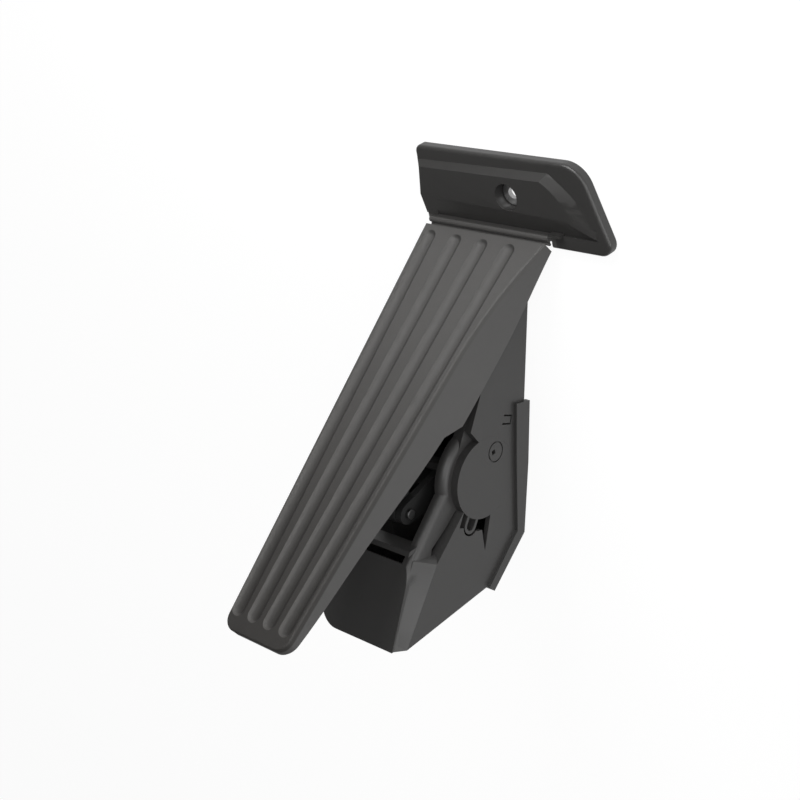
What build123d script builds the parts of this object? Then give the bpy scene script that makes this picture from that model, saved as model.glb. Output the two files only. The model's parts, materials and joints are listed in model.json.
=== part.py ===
"""Floor-mounted accelerator pedal: heel plate, hinged tread, lever housing and position sensor.

Millimetres. X runs to the driver's right, Y forward, Z up. The origin is the axis of the
fixing hole in the heel plate, on the floor. The tread leans forward over the housing; a link
rod turns a sprung lever inside it, and the lever's shaft carries the sensor's rotor.
"""

from math import atan2, cos, degrees, pi, radians, sin, tan
import os

from build123d import *

os.makedirs("parts", exist_ok=True)

# Fits, as radial or facing gaps
SNUG = 0.02
RUN = 0.05
SIDE_GAP = 0.3
OPEN_PIN_GAP = 0.6

# The pedal's middle plane, seen from the fixing hole
MID_X = 27.5

# Heel plate
HEEL_T = 6.2
HEEL_TOP = 9.6
HEEL_BACK_Y = -22.3
HEEL_HINGE_Y = 23.8
HEEL_FOOT_Y = 28.3
HEEL_RIGHT_X = 67.0
HEEL_LEFT_X = -67.5
HEEL_CORNER = (-49.8, HEEL_BACK_Y)
HEEL_TROUGH_Z = 5.0
HEEL_TROUGH_Y = (13.0, 19.6)
BUSH_R, BUSH_BORE_R, BUSH_H = 7.2, 3.3, 3.0
RECESS_R = 7.8
HEEL_SCREW_X = (18.0, 50.0)
HEEL_SCREW_Y = 2.0
HEEL_SCREW_R = 2.0
HEEL_SCREW_L = 6.6

# Tongue of the housing under the heel plate
TONGUE_T = 3.2
TONGUE_X = (10.0, 60.0)
TONGUE_Y = (-14.0, 48.0)

# Film hinge between heel plate and tread
HINGE_Y, HINGE_Z = 25.0, 8.0
STRIP_X = (-25.5, 61.5)
STRIP_NOSE_R = 0.8
STRIP_BEAD_R = 0.9
STRIP_BEAD_Y = HINGE_Y - 3.6
RAIL_R = 1.9

# Tread, in its own directions: along the face, and down into the pedal
REST_ANGLE = 57.0
TREAD_L = 259.3
TREAD_HALF_HINGE = 37.7
TREAD_NARROWING = 0.053
FLARE = 13.0
FLARE_L = 80.0
FACE_T = 3.2
SKIRT_T = 1.9
SKIRT_MAX = 31.5
SKIRT_TAPER = 1.8
TOE_R = 8.5
FLUTE_R, FLUTE_DEPTH = 6.2, 1.9
FLUTE_START, FLUTE_END = 4.0, 251.0
FLUTE_SHIFT = 0.6
FLUTE_SPACING_HINGE, FLUTE_SPACING_TOE = 19.6, 12.4
RIB_T, RIB_DEPTH = 1.8, 2.6
LUG_V, LUG_W = 120.0, 12.0

# Lever, shaft and rod
PIVOT_Y, PIVOT_Z = 149.6, 65.5
SHAFT_R = 4.0
HUB_R = 10.5
CLIP_R, CLIP_NOTCH_R = 7.0, 5.2
PIN_R = 3.0
LEVER_EYE_Y, LEVER_EYE_Z = 153.4, 109.9
LEVER_EYE_R = 6.5
CHEEK_IN, CHEEK_OUT = 5.2, 9.6
ROD_HALF = 4.6
ROD_EYE_FRONT_R, ROD_EYE_REAR_R = 6.4, 6.8
ROD_POCKET_W, ROD_POCKET_DEPTH = 8.0, 2.8
ROD_SOLID_END = 10.0
SPRING_ARM, SPRING_ANGLE = 30.0, 28.0
NOSE_R = 5.0

# Return springs and their guide
SPRING_Y = 177.8
SEAT_Z = 44.5
CUP_Z = PIVOT_Z + SPRING_ARM * sin(radians(SPRING_ANGLE)) - NOSE_R - SIDE_GAP
CUP_T = 2.2
CUP_R = 8.4
GUIDE_R, STEM_R = 2.3, 3.7
GUIDE_TOP = 60.4
STEM_LOW = 56.0
INNER_WIRE_R, INNER_TURNS = 0.5, 8
OUTER_WIRE_R, OUTER_TURNS = 0.75, 6
INNER_COIL_R = STEM_R + 0.5 + INNER_WIRE_R
OUTER_COIL_R = INNER_COIL_R + INNER_WIRE_R + 0.8 + OUTER_WIRE_R
COIL_STEPS = 16

# Housing: half widths of its core and side walls, and what stands inside them
CORE_HALF = 25.0
CORE_WALL = 2.4
RECESS_DEPTH = 5.0
WALL_HALF = CORE_HALF + RECESS_DEPTH
INNER_HALF = CORE_HALF - CORE_WALL
WALL_T = 3.0
BACK_ANGLE = 15.8
CAP_R, CAP_T = 24.05, 2.0
BAND_R = 30.5
SHOULDER_R = 5.0
OPENING_HALF = CORE_HALF - SHOULDER_R - 1.5
BUSH_L = 8.0
BOSS_HALF = CORE_HALF - BUSH_L
HUB_HALF = BOSS_HALF - SIDE_GAP
BUSH_OUT_R = 5.6
CAP_SNAP = (138.3, 53.6)
CAP_SNAP_R = 6.3
TOE_RIGHT = WALL_HALF + 6.0
TOE_CORNER_R = 16.0

# Window below the pivot cap with its U-shaped tongue, and the slit of the small snap finger
WINDOW_R, WINDOW_DEPTH = 31.0, 4.4
TONGUE_ANGLE, TONGUE_END_R = 40.0, 28.2
TONGUE_OUT_R, TONGUE_IN_R = 5.0, 3.1
SNAP_SLIT_W = 0.9

# Sensor on the right-hand wall
CHAMBER_R, CHAMBER_T, CHAMBER_OUT = 22.0, 2.4, WALL_HALF + 13.0
ROTOR_IN, ROTOR_T, ROTOR_R = WALL_HALF + 1.0, 5.0, 12.0
ROTOR_OUT = ROTOR_IN + ROTOR_T
MAGNET_R, MAGNET_OUT = 7.5, ROTOR_OUT + 1.6
BOARD_IN, BOARD_T, BOARD_R = MAGNET_OUT + 1.6, 1.6, 17.5
COVER_T = 2.6
SEAL_R, SEAL_T, SEAL_DEPTH = 20.8, 1.2, 0.8
SOCKET_IN = WALL_HALF + 2.6
SOCKET_Y = (114.0, 132.0)
SOCKET_Z = (36.5, 51.0)
SOCKET_WALL = 1.8
TERMINALS = 6
EAR_RADIUS, EAR_R = 24.2, 3.4
EAR_ANGLES = (60.0, 180.0, 300.0)
SCREW_R, SCREW_L, SCREW_HEAD_R = 1.3, 8.0, 2.6

# Rest stop for the lever
STOP_Y = (135.0, 139.3)
STOP_Z = (77.0, 83.0)
PAD_T = 1.3

V_DIR = (0, cos(radians(REST_ANGLE)), sin(radians(REST_ANGLE)))
W_DIR = (0, sin(radians(REST_ANGLE)), -cos(radians(REST_ANGLE)))
HINGE_V, HINGE_W = -1.0, 1.5
TREAD_ORIGIN = (
    MID_X,
    HINGE_Y - HINGE_V * V_DIR[1] - HINGE_W * W_DIR[1],
    HINGE_Z - HINGE_V * V_DIR[2] - HINGE_W * W_DIR[2],
)
UNDER = Plane(origin=TREAD_ORIGIN, x_dir=V_DIR, z_dir=W_DIR)
TREAD_SIDE = Plane(origin=TREAD_ORIGIN, x_dir=V_DIR, z_dir=(-1, 0, 0))
TOE_HALF = TREAD_HALF_HINGE - TREAD_NARROWING * TREAD_L
LUG_Y = TREAD_ORIGIN[1] + LUG_V * V_DIR[1] + LUG_W * W_DIR[1]
LUG_Z = TREAD_ORIGIN[2] + LUG_V * V_DIR[2] + LUG_W * W_DIR[2]


def across(s):
    """The plane of all side profiles, s to the right of the middle; local axes are Y and Z."""
    return Plane.YZ.offset(MID_X + s)


def write(piece, name):
    piece.part.label = name
    export_step(piece.part, f"parts/{name}.step")


def about_pivot(radius, angle):
    """A point at an angle above the forward direction around the lever's pivot."""
    return (PIVOT_Y + radius * cos(radians(angle)), PIVOT_Z + radius * sin(radians(angle)))


def back_z(y):
    """Height of the housing's back face, which leans on the toe board."""
    return (y - 37.9) * tan(radians(BACK_ANGLE))


# Heel plate

with BuildPart() as heel_plate:
    with BuildSketch() as heel_outline:
        with BuildLine():
            Polyline(
                (HEEL_RIGHT_X, HEEL_BACK_Y),
                HEEL_CORNER,
                (HEEL_LEFT_X, HEEL_FOOT_Y),
                (STRIP_X[0], HEEL_FOOT_Y),
                (STRIP_X[0], HEEL_HINGE_Y),
                (HEEL_RIGHT_X - 1.0, HEEL_HINGE_Y),
                close=True,
            )
        make_face()
        fillet(heel_outline.vertices().sort_by(Axis.X)[0], 7.0)
        fillet(heel_outline.vertices().sort_by_distance((*HEEL_CORNER, 0))[0], 17.0)
        fillet(heel_outline.vertices().sort_by_distance((HEEL_RIGHT_X, HEEL_BACK_Y, 0))[0], 4.0)
    extrude(amount=HEEL_T)
    rim = heel_plate.faces().sort_by(Axis.Z)[-1].edges()
    fillet([e for e in rim if e.center().Y < HEEL_HINGE_Y - 1.0 or e.center().X < STRIP_X[0] - 1], 2.2)
    # Trough along the hinge, then the raised plateau with its curved left slope
    with BuildSketch(Plane.XY.offset(HEEL_TROUGH_Z)):
        with Locations((0, sum(HEEL_TROUGH_Y) / 2)):
            Rectangle(2 * HEEL_RIGHT_X - 20, HEEL_TROUGH_Y[1] - HEEL_TROUGH_Y[0])
    extrude(amount=HEEL_T, mode=Mode.SUBTRACT)
    with BuildSketch(Plane.XY.offset(HEEL_TROUGH_Z)):
        with BuildLine():
            Polyline((-60.5, 21.5), (-59.0, 19.6), (HEEL_RIGHT_X - 0.2, 19.6), (HEEL_RIGHT_X - 0.2, -15.5), (-30.4, -17.5))
            Spline((-30.4, -17.5), (-40.5, -9.5), (-50.3, 0.0), (-57.0, 10.0), (-60.5, 21.5))
        make_face()
    with BuildSketch(Plane.XY.offset(HEEL_TOP)):
        with BuildLine():
            Polyline((-43.5, 11.0), (-40.5, 8.6), (HEEL_RIGHT_X - 2.0, 6.0), (HEEL_RIGHT_X - 4.5, -11.0), (-25.0, -12.0))
            Spline((-25.0, -12.0), (-31.5, -7.5), (-37.0, -1.9), (-41.2, 4.3), (-43.5, 11.0))
        make_face()
    loft(ruled=True)
    # Rail that holds the film hinge's bead
    with BuildSketch(Plane.YZ.offset(STRIP_X[0])):
        with Locations((STRIP_BEAD_Y, HINGE_Z)):
            Circle(RAIL_R)
        with Locations((STRIP_BEAD_Y, (HINGE_Z + HEEL_TROUGH_Z) / 2 - 0.5)):
            Rectangle(2 * RAIL_R, HINGE_Z - HEEL_TROUGH_Z + 1.0)
    extrude(amount=STRIP_X[1] - STRIP_X[0])
    # Pocket for the housing's tongue, open towards the hinge
    with BuildSketch():
        with Locations(((TONGUE_X[0] + TONGUE_X[1]) / 2, (TONGUE_Y[0] + TONGUE_Y[1]) / 2)):
            Rectangle(TONGUE_X[1] - TONGUE_X[0] + 0.4, TONGUE_Y[1] - TONGUE_Y[0] + 0.4)
    extrude(amount=TONGUE_T + 0.1, mode=Mode.SUBTRACT)
    with BuildSketch(Plane.XY.offset(BUSH_H)):
        Circle(RECESS_R)
    extrude(amount=HEEL_TOP, mode=Mode.SUBTRACT)
    with BuildSketch():
        Circle(BUSH_R + SNUG)
    extrude(amount=BUSH_H, mode=Mode.SUBTRACT)
    with Locations(Location((HEEL_SCREW_X[0], HEEL_SCREW_Y, 0)), Location((HEEL_SCREW_X[1], HEEL_SCREW_Y, 0))):
        Cylinder(
            HEEL_SCREW_R + SNUG,
            HEEL_SCREW_L + 0.2,
            align=(Align.CENTER, Align.CENTER, Align.MIN),
            mode=Mode.SUBTRACT,
        )
    # Groove that holds the film hinge's bead, with its slot towards the tread
    strip_mid = (STRIP_X[0] + STRIP_X[1]) / 2
    strip_half = (STRIP_X[1] - STRIP_X[0]) / 2
    with BuildSketch(Plane.YZ.offset(strip_mid)):
        with Locations((STRIP_BEAD_Y, HINGE_Z)):
            Circle(STRIP_BEAD_R + RUN)
        with Locations(((STRIP_BEAD_Y + HINGE_Y) / 2, HINGE_Z)):
            Rectangle(HINGE_Y - STRIP_BEAD_Y, 1.0)
    extrude(amount=strip_half + 0.2, both=True, mode=Mode.SUBTRACT)
    # Upright tab beside the hinge line
    with BuildSketch(Plane.XY.offset(HEEL_T - 1.0)):
        with Locations((STRIP_X[0] - 4.6, HINGE_Y - 6.0)):
            Rectangle(8.0, 1.6)
    extrude(amount=4.6)
write(heel_plate, "heel_plate")

with BuildPart() as floor_bush:
    with BuildSketch():
        Circle(BUSH_R)
        Circle(BUSH_BORE_R, mode=Mode.SUBTRACT)
    extrude(amount=BUSH_H)
    chamfer(floor_bush.edges().group_by(Axis.Z)[-1].sort_by(SortBy.RADIUS)[-1], 0.3)
write(floor_bush, "floor_bush")

with BuildPart() as heel_screws:
    for x in HEEL_SCREW_X:
        with BuildSketch(Plane.XZ.offset(-HEEL_SCREW_Y)):
            with BuildLine():
                Polyline(
                    (x, 0.3),
                    (x + 3.6, 0.3),
                    (x + HEEL_SCREW_R, 0.3 + 3.6 - HEEL_SCREW_R),
                    (x + HEEL_SCREW_R, HEEL_SCREW_L),
                    (x, HEEL_SCREW_L),
                    close=True,
                )
            make_face()
        revolve(axis=Axis((x, HEEL_SCREW_Y, 0), (0, 0, 1)))
write(heel_screws, "heel_screws")

with BuildPart() as hinge_strip:
    with BuildSketch(Plane.YZ.offset(strip_mid)):
        with Locations((STRIP_BEAD_Y, HINGE_Z)):
            Circle(STRIP_BEAD_R)
        with Locations(((STRIP_BEAD_Y + HINGE_Y) / 2, HINGE_Z)):
            Rectangle(HINGE_Y - STRIP_BEAD_Y, 0.8)
        with Locations((HINGE_Y, HINGE_Z)):
            Circle(STRIP_NOSE_R)
    extrude(amount=strip_half, both=True)
write(hinge_strip, "hinge_strip")


# Tread

def tread_outline(inset):
    """Plan of the tread, along the face and across; it flares on the driver's left at the hinge."""
    straight = (FLARE_L, -TREAD_HALF_HINGE + TREAD_NARROWING * FLARE_L)
    with BuildSketch() as plan:
        with BuildLine():
            narrowing = Line((TREAD_L, -TOE_HALF), straight)
            TangentArc(straight, (0, -TREAD_HALF_HINGE - FLARE), tangent=narrowing % 1)
            Polyline(
                (0, -TREAD_HALF_HINGE - FLARE),
                (0, TREAD_HALF_HINGE),
                (TREAD_L, TOE_HALF),
                (TREAD_L, -TOE_HALF),
            )
        make_face()
        fillet(plan.vertices().sort_by(Axis.X)[-2:], TOE_R)
        if inset:
            offset(amount=-inset, mode=Mode.REPLACE)
    return plan.sketch


def flute(index):
    """Capsule that cuts one shallow flute; its axis lies above the face."""
    start = Vector(FLUTE_START + FLUTE_R * 0.7, (index - 1.5) * FLUTE_SPACING_HINGE + FLUTE_SHIFT, FLUTE_DEPTH - FLUTE_R)
    end = Vector(FLUTE_END - FLUTE_R * 0.7, (index - 1.5) * FLUTE_SPACING_TOE + FLUTE_SHIFT, FLUTE_DEPTH - FLUTE_R)
    base = UNDER.from_local_coords(start)
    tip = UNDER.from_local_coords(end)
    with BuildPart(Plane(origin=base, z_dir=tip - base), mode=Mode.PRIVATE) as capsule:
        Cylinder(FLUTE_R, (tip - base).length, align=(Align.CENTER, Align.CENTER, Align.MIN))
        Sphere(FLUTE_R)
        with Locations((0, 0, (tip - base).length)):
            Sphere(FLUTE_R)
    return capsule.part


outer_plan = tread_outline(0)
inner_plan = tread_outline(SKIRT_T)

with BuildPart() as tread:
    with BuildSketch(UNDER):
        add(outer_plan)
    extrude(amount=SKIRT_MAX + 1.0, taper=-SKIRT_TAPER)
    with BuildSketch(TREAD_SIDE):
        with BuildLine():
            Spline((0, 7.7), (20, 17.0), (47, 26.4), (75, 30.4), (103, SKIRT_MAX))
            Line((103, SKIRT_MAX), (115, 23.3))
            Spline((115, 23.3), (150, 20.0), (190, 14.5), (231, 10.5), (TREAD_L + 3, 5.6))
            Polyline((TREAD_L + 3, 5.6), (TREAD_L + 3, 0), (-1.4, 0), (-1.4, 7.7), (0, 7.7))
        make_face()
    extrude(amount=80, both=True, mode=Mode.INTERSECT)
    face_edges = tread.faces().sort_by(Axis((0, 0, 0), W_DIR))[0].edges()
    fillet([e for e in face_edges if e.center().Y > HINGE_Y + 3], 1.1)
    with BuildSketch(UNDER.offset(FACE_T)):
        add(inner_plan)
    extrude(amount=SKIRT_MAX, taper=-SKIRT_TAPER, mode=Mode.SUBTRACT)
    for index in range(4):
        add(flute(index), mode=Mode.SUBTRACT)
    # Cross ribs under the face
    for v in (34.0, 62.0, 90.0, 150.0, 178.0, 206.0, 234.0):
        with BuildSketch(TREAD_SIDE):
            with Locations((v, FACE_T + RIB_DEPTH / 2 - 0.2)):
                Rectangle(RIB_T, RIB_DEPTH + 0.4)
        extrude(amount=TREAD_HALF_HINGE - TREAD_NARROWING * v - 0.4, both=True)
    # Lugs for the link rod
    for side in (-1, 1):
        with BuildSketch(TREAD_SIDE.offset(side * (CHEEK_IN + CHEEK_OUT) / 2)):
            with BuildLine():
                Polyline(
                    (LUG_V - 16, FACE_T - 0.4),
                    (LUG_V - 6.2, LUG_W + 2.6),
                    (LUG_V + 6.2, LUG_W + 2.6),
                    (LUG_V + 12, FACE_T - 0.4),
                    close=True,
                )
            make_face()
            with Locations((LUG_V, LUG_W)):
                Circle(6.7)
                Circle(PIN_R + SNUG, mode=Mode.SUBTRACT)
        extrude(amount=(CHEEK_OUT - CHEEK_IN) / 2, both=True)
    with BuildSketch(across(0)):
        with Locations((HINGE_Y, HINGE_Z)):
            Circle(STRIP_NOSE_R + SIDE_GAP)
    extrude(amount=80, both=True, mode=Mode.SUBTRACT)
write(tread, "tread")


# Housing

FRONT_START = about_pivot(BAND_R, 165)
FRONT_MID = about_pivot(BAND_R, 131)
FRONT_END = about_pivot(BAND_R, 98)
TOE_FOOT = (171.9, 130.6)
TOE_TOP = (214.0, 157.0)
TOE_BACK = (216.8, 79.7)
LIP_TOP = (221.0, 76.6)
LIP_FOOT = (199.4, back_z(199.4))
BASE_BACK = (38.5, back_z(38.5))
BASE_FRONT = (44.0, 5.0)
NECK = (48.0, 21.0)
WALL_END = (116.5, 70.6)
RECESS_FOOT = about_pivot(CAP_R, 180)
CHAMFER_LOW, CHAMFER_HIGH = (178.3, 115.1), (214.9, 150.0)
CHAMFER_EDGE_LOW, CHAMFER_EDGE_HIGH = (170.3, 127.2), (213.7, 156.8)
BOX_BACK, BOX_FRONT = (216.0, 96.0), (180.0, 96.0)
SLIT = ((120.5, 41.9), (123.7, 35.9), (128.0, 38.0), (124.8, 44.5))


def core_profile():
    """Whole side outline, drawn through the front shoulder and the closed toe box."""
    with BuildSketch() as profile:
        with BuildLine():
            Polyline(BASE_BACK, BASE_FRONT, NECK, FRONT_START)
            ThreePointArc(FRONT_START, FRONT_MID, FRONT_END)
            Polyline(FRONT_END, TOE_FOOT, TOE_TOP, TOE_BACK, LIP_TOP, LIP_FOOT, BASE_BACK)
        make_face()
    return profile.sketch


def wall_profile():
    """Outer side wall: it stops short of the recess around the pivot cap."""
    with BuildSketch() as profile:
        with BuildLine():
            Polyline(BASE_BACK, BASE_FRONT, NECK, WALL_END, RECESS_FOOT)
            ThreePointArc(RECESS_FOOT, about_pivot(CAP_R, 122), about_pivot(CAP_R, 65))
            Polyline(
                about_pivot(CAP_R, 65),
                CHAMFER_LOW,
                CHAMFER_HIGH,
                TOE_BACK,
                LIP_TOP,
                LIP_FOOT,
                BASE_BACK,
            )
        make_face()
    return profile.sketch


def toe_box_side(start_s, end_s, inset):
    """Right-hand side of the toe box, standing out from the wall; inset for its hollow."""
    drop = 12.0
    with BuildPart(mode=Mode.PRIVATE) as side_box:
        for s, lower in ((start_s, 0.0), (end_s, drop)):
            with BuildSketch(across(s)):
                with BuildLine():
                    Polyline(
                        TOE_FOOT,
                        TOE_TOP,
                        (BOX_BACK[0] + 0.4 - lower * 0.036, BOX_BACK[1] - drop + lower),
                        (BOX_FRONT[0] - 4.0 + lower * 0.2, BOX_FRONT[1] - drop + lower),
                        close=True,
                    )
                make_face()
                if inset:
                    offset(amount=-inset, mode=Mode.REPLACE)
        loft(ruled=True)
    return side_box.part


def beyond_corner(radius):
    """What a rounding of this radius leaves out between the toe box's end and its right side."""
    lean = (0, TOE_TOP[0] - TOE_BACK[0], TOE_TOP[1] - TOE_BACK[1])
    plane = Plane(origin=(MID_X + TOE_RIGHT, *TOE_BACK), x_dir=(1, 0, 0), z_dir=lean)
    with BuildPart(mode=Mode.PRIVATE) as corner:
        with BuildSketch(plane):
            with Locations((-TOE_CORNER_R, -TOE_CORNER_R)):
                Rectangle(2 * TOE_CORNER_R, 2 * TOE_CORNER_R, align=Align.MIN)
                Circle(radius, mode=Mode.SUBTRACT)
        extrude(amount=TOE_TOP[1] - TOE_BACK[1] + 10)
    return corner.part


core_plan = core_profile()
wall_plan = wall_profile()
with BuildSketch() as core_inner:
    add(core_plan)
    offset(amount=-WALL_T, mode=Mode.REPLACE)
with BuildSketch() as wall_inner:
    add(wall_plan)
    offset(amount=-WALL_T, mode=Mode.REPLACE)
    with Locations((PIVOT_Y, PIVOT_Z)):
        Circle(CHAMBER_R + 3.5, mode=Mode.SUBTRACT)

with BuildPart() as housing:
    with BuildSketch(across(-CORE_HALF)):
        add(core_plan)
    extrude(amount=2 * CORE_HALF)
    front_edges = [
        e
        for e in housing.edges()
        if abs(abs(e.center().X - MID_X) - CORE_HALF) < 0.1
        and e.center().Y > FRONT_START[0] - 2
        and e.center().Z > 72
        and atan2(e.center().Z - HINGE_Z, e.center().Y - HINGE_Y) > radians(33.5)
        and e.center().Y < TOE_FOOT[0]
    ]
    fillet(front_edges, SHOULDER_R)
    for side in (-1, 1):
        with BuildSketch(across(side * CORE_HALF)):
            add(wall_plan)
        extrude(amount=side * RECESS_DEPTH)
        # Rail along the back edge
        with BuildSketch(across(side * (WALL_HALF - 1.0))):
            with BuildLine():
                Polyline(
                    (120.9, 20.9),
                    (157.7, 30.4),
                    (199.4, 43.4),
                    LIP_TOP,
                    (216.1, 79.4),
                    (195.2, 49.0),
                    (151.5, 40.0),
                    (117.4, 32.2),
                    close=True,
                )
            make_face()
        extrude(amount=side * 3.2)
    # Chamfer on the toe box's left, full width and a rounded corner on its right
    with BuildSketch(across(-CORE_HALF + 0.5)):
        with BuildLine():
            Polyline(CHAMFER_EDGE_LOW, CHAMFER_EDGE_HIGH, BOX_BACK, BOX_FRONT, close=True)
        make_face()
    with BuildSketch(across(-WALL_HALF)):
        with BuildLine():
            Polyline(CHAMFER_LOW, CHAMFER_HIGH, BOX_BACK, BOX_FRONT, close=True)
        make_face()
    loft(ruled=True)
    add(toe_box_side(CORE_HALF - 0.5, TOE_RIGHT, 0))
    add(beyond_corner(TOE_CORNER_R), mode=Mode.SUBTRACT)
    # Hollow
    with BuildPart(mode=Mode.PRIVATE) as hollow:
        with BuildSketch(across(-INNER_HALF)):
            add(core_inner.sketch)
        extrude(amount=2 * INNER_HALF)
        for side in (-1, 1):
            with BuildSketch(across(side * (INNER_HALF - 0.5))):
                add(wall_inner.sketch)
            extrude(amount=side * (WALL_HALF - WALL_T - INNER_HALF + 0.5))
        add(toe_box_side(INNER_HALF - 0.5, TOE_RIGHT - WALL_T, WALL_T))
        add(beyond_corner(TOE_CORNER_R - WALL_T), mode=Mode.SUBTRACT)
    add(hollow.part, mode=Mode.SUBTRACT)
    # Opening in the front, from the shoulder to the toe box
    with BuildSketch(across(0)):
        with BuildLine():
            Polyline(
                (112.0, 62.0),
                (112.0, 96.0),
                (150.0, 126.0),
                (168.0, 142.0),
                (TOE_FOOT[0] - 0.6, TOE_FOOT[1] + 0.4),
                (176.0, 125.0),
                (140.0, 80.0),
                (124.0, 62.0),
                close=True,
            )
        make_face()
    extrude(amount=OPENING_HALF, both=True, mode=Mode.SUBTRACT)
    # Cross wall in the opening
    with BuildSketch(across(0)):
        with BuildLine():
            Polyline((165.0, 118.0), (165.0, 126.6), (167.4, 128.4), (167.4, 118.0), close=True)
        make_face()
    extrude(amount=INNER_HALF + 0.2, both=True)
    # Slot between the shoulder and the left wall's edge
    with BuildSketch(across(-CORE_HALF)):
        with BuildLine():
            Polyline((159.4, 88.6), (165.0, 98.3), (171.4, 112.2), CHAMFER_LOW, about_pivot(CAP_R, 65), close=True)
        make_face()
    extrude(amount=CORE_WALL + 0.4, mode=Mode.SUBTRACT)
    # Bearing bosses
    for side in (-1, 1):
        with BuildSketch(across(side * BOSS_HALF)):
            with Locations((PIVOT_Y, PIVOT_Z)):
                Circle(BUSH_OUT_R + 3.2)
        extrude(amount=side * BUSH_L)
    # Seat of the pivot cap on the left, sensor chamber on the right
    with BuildSketch(across(-CORE_HALF)):
        with Locations((PIVOT_Y, PIVOT_Z)):
            Circle(CAP_R + RUN)
    extrude(amount=-RECESS_DEPTH - 1, mode=Mode.SUBTRACT)
    with BuildSketch(across(CORE_HALF)):
        with Locations((PIVOT_Y, PIVOT_Z)):
            Circle(CHAMBER_R)
        with Locations([about_pivot(EAR_RADIUS, a) for a in EAR_ANGLES]):
            Circle(EAR_R)
    extrude(amount=CHAMBER_OUT - CORE_HALF)
    with BuildSketch(across(CORE_HALF + 3.5)):
        with Locations((PIVOT_Y, PIVOT_Z)):
            Circle(CHAMBER_R - CHAMBER_T)
    extrude(amount=CHAMBER_OUT, mode=Mode.SUBTRACT)
    with BuildSketch(across(0)):
        with Locations((PIVOT_Y, PIVOT_Z)):
            Circle(BUSH_OUT_R + SNUG)
    extrude(amount=WALL_HALF, both=True, mode=Mode.SUBTRACT)
    with BuildSketch(across(CHAMBER_OUT)):
        with Locations((PIVOT_Y, PIVOT_Z)):
            Circle(SEAL_R + SEAL_T / 2 + SNUG)
            Circle(SEAL_R - SEAL_T / 2 - SNUG, mode=Mode.SUBTRACT)
    extrude(amount=-SEAL_DEPTH, mode=Mode.SUBTRACT)
    with BuildSketch(across(CHAMBER_OUT)):
        with Locations([about_pivot(EAR_RADIUS, a) for a in EAR_ANGLES]):
            Circle(SCREW_R + SNUG)
    extrude(amount=-SCREW_L, mode=Mode.SUBTRACT)
    # Window below the cap, with its tongue, and the slit around the small snap finger
    with BuildSketch(across(-WALL_HALF)):
        with BuildLine():
            CenterArc((PIVOT_Y, PIVOT_Z), CAP_R, 3, 61)
            Line(about_pivot(CAP_R, 64), about_pivot(WINDOW_R + 1.5, 57))
            Line(about_pivot(WINDOW_R + 1.5, 57), about_pivot(WINDOW_R, 50))
            ThreePointArc(about_pivot(WINDOW_R, 50), about_pivot(WINDOW_R, 34), about_pivot(WINDOW_R, 19))
            Polyline(about_pivot(WINDOW_R, 19), (193.0, 76.3), about_pivot(CAP_R, 3))
        make_face()
        with Locations(about_pivot(TONGUE_END_R, TONGUE_ANGLE)):
            Circle(TONGUE_OUT_R + 1.2)
    extrude(amount=WINDOW_DEPTH, mode=Mode.SUBTRACT)
    with BuildSketch(across(-WALL_HALF + 0.3)):
        with Locations(Location((*about_pivot(TONGUE_END_R, TONGUE_ANGLE), 0), (0, 0, TONGUE_ANGLE))):
            Circle(TONGUE_OUT_R)
            with Locations((-TONGUE_OUT_R, 0)):
                Rectangle(2 * TONGUE_OUT_R, 2 * TONGUE_OUT_R)
            Circle(TONGUE_IN_R, mode=Mode.SUBTRACT)
            with Locations((-TONGUE_OUT_R, 0)):
                Rectangle(2 * TONGUE_OUT_R, 2 * TONGUE_IN_R, mode=Mode.SUBTRACT)
        with Locations((PIVOT_Y, PIVOT_Z)):
            Circle(CAP_R + RUN, mode=Mode.SUBTRACT)
    extrude(amount=RECESS_DEPTH)
    with BuildSketch(across(-WALL_HALF)):
        with BuildLine() as slit:
            Polyline(*SLIT)
        trace(slit.line, SNAP_SLIT_W)
    extrude(amount=WALL_T + 0.5, mode=Mode.SUBTRACT)
    # Rib that stops the lever at rest
    with BuildSketch(across(0)):
        with Locations(((STOP_Y[0] + STOP_Y[1]) / 2, (STOP_Z[0] + STOP_Z[1]) / 2)):
            Rectangle(STOP_Y[1] - STOP_Y[0], STOP_Z[1] - STOP_Z[0])
    extrude(amount=INNER_HALF + 0.2, both=True)
    # Spring seat with its guide post
    with BuildSketch(Plane.XY.offset(SEAT_Z)):
        with Locations((MID_X, SPRING_Y)):
            Circle(9.2)
    extrude(until=Until.NEXT, dir=(0, 0, -1))
    with BuildSketch(Plane.XY.offset(SEAT_Z - 1.0)):
        with Locations((MID_X, SPRING_Y)):
            Circle(GUIDE_R)
    extrude(amount=GUIDE_TOP - SEAT_Z + 1.0)
    # Tongue under the heel plate
    with BuildSketch():
        with Locations(((TONGUE_X[0] + TONGUE_X[1]) / 2, (TONGUE_Y[0] + TONGUE_Y[1]) / 2)):
            Rectangle(TONGUE_X[1] - TONGUE_X[0], TONGUE_Y[1] - TONGUE_Y[0])
    extrude(amount=TONGUE_T)
    for x in HEEL_SCREW_X:
        with BuildSketch(Plane.XZ.offset(-HEEL_SCREW_Y)):
            with BuildLine():
                Polyline(
                    (x, -0.1),
                    (x + 3.9, -0.1),
                    (x + 3.9, 0.3),
                    (x + HEEL_SCREW_R + 0.3, 3.9 - HEEL_SCREW_R),
                    (x + HEEL_SCREW_R + 0.3, TONGUE_T + 1),
                    (x, TONGUE_T + 1),
                    close=True,
                )
            make_face()
        revolve(axis=Axis((x, HEEL_SCREW_Y, 0), (0, 0, 1)), mode=Mode.SUBTRACT)
write(housing, "housing")

# Cap over the shaft's left end, flush with the side wall

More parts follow.
